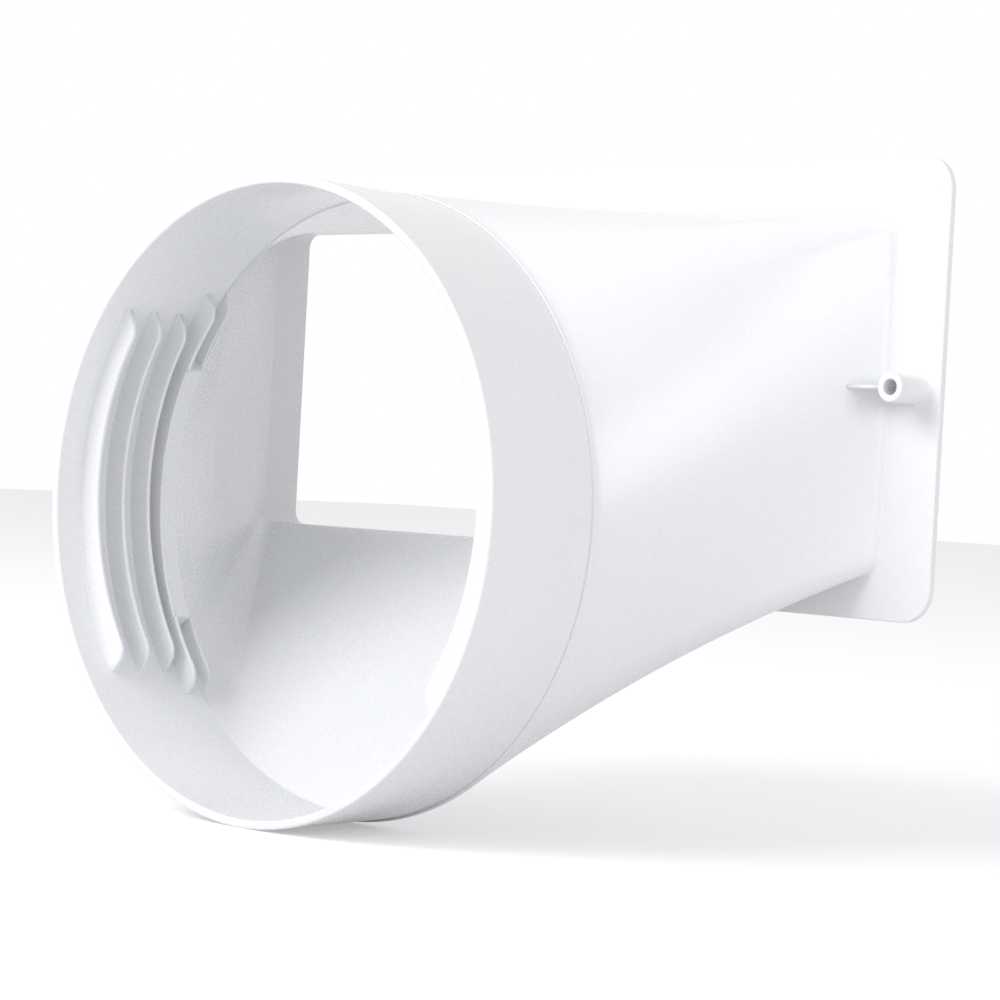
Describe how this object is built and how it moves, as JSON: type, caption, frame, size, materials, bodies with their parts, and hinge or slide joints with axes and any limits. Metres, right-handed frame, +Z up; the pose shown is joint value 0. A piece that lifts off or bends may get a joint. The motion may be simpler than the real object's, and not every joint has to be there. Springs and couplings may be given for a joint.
{
  "type": "window exhaust hose adapter",
  "caption": "White moulded plastic adapter that joins a round screw-in exhaust hose to a flat rectangular window duct with a mounting flange.",
  "frame": {"origin": "centre of the round collar's open mouth, on the collar axis", "axes": "+Y along the collar axis from the mouth towards the window flange, +Z up as installed, +X along the width of the flange"},
  "size_m": [0.25, 0.1126, 0.1678],
  "materials": {
    "white_plastic": "smooth satin-gloss moulded plastic"
  },
  "bodies": {
    "root": {"adapter_body": "white_plastic"}
  },
  "joints": []
}
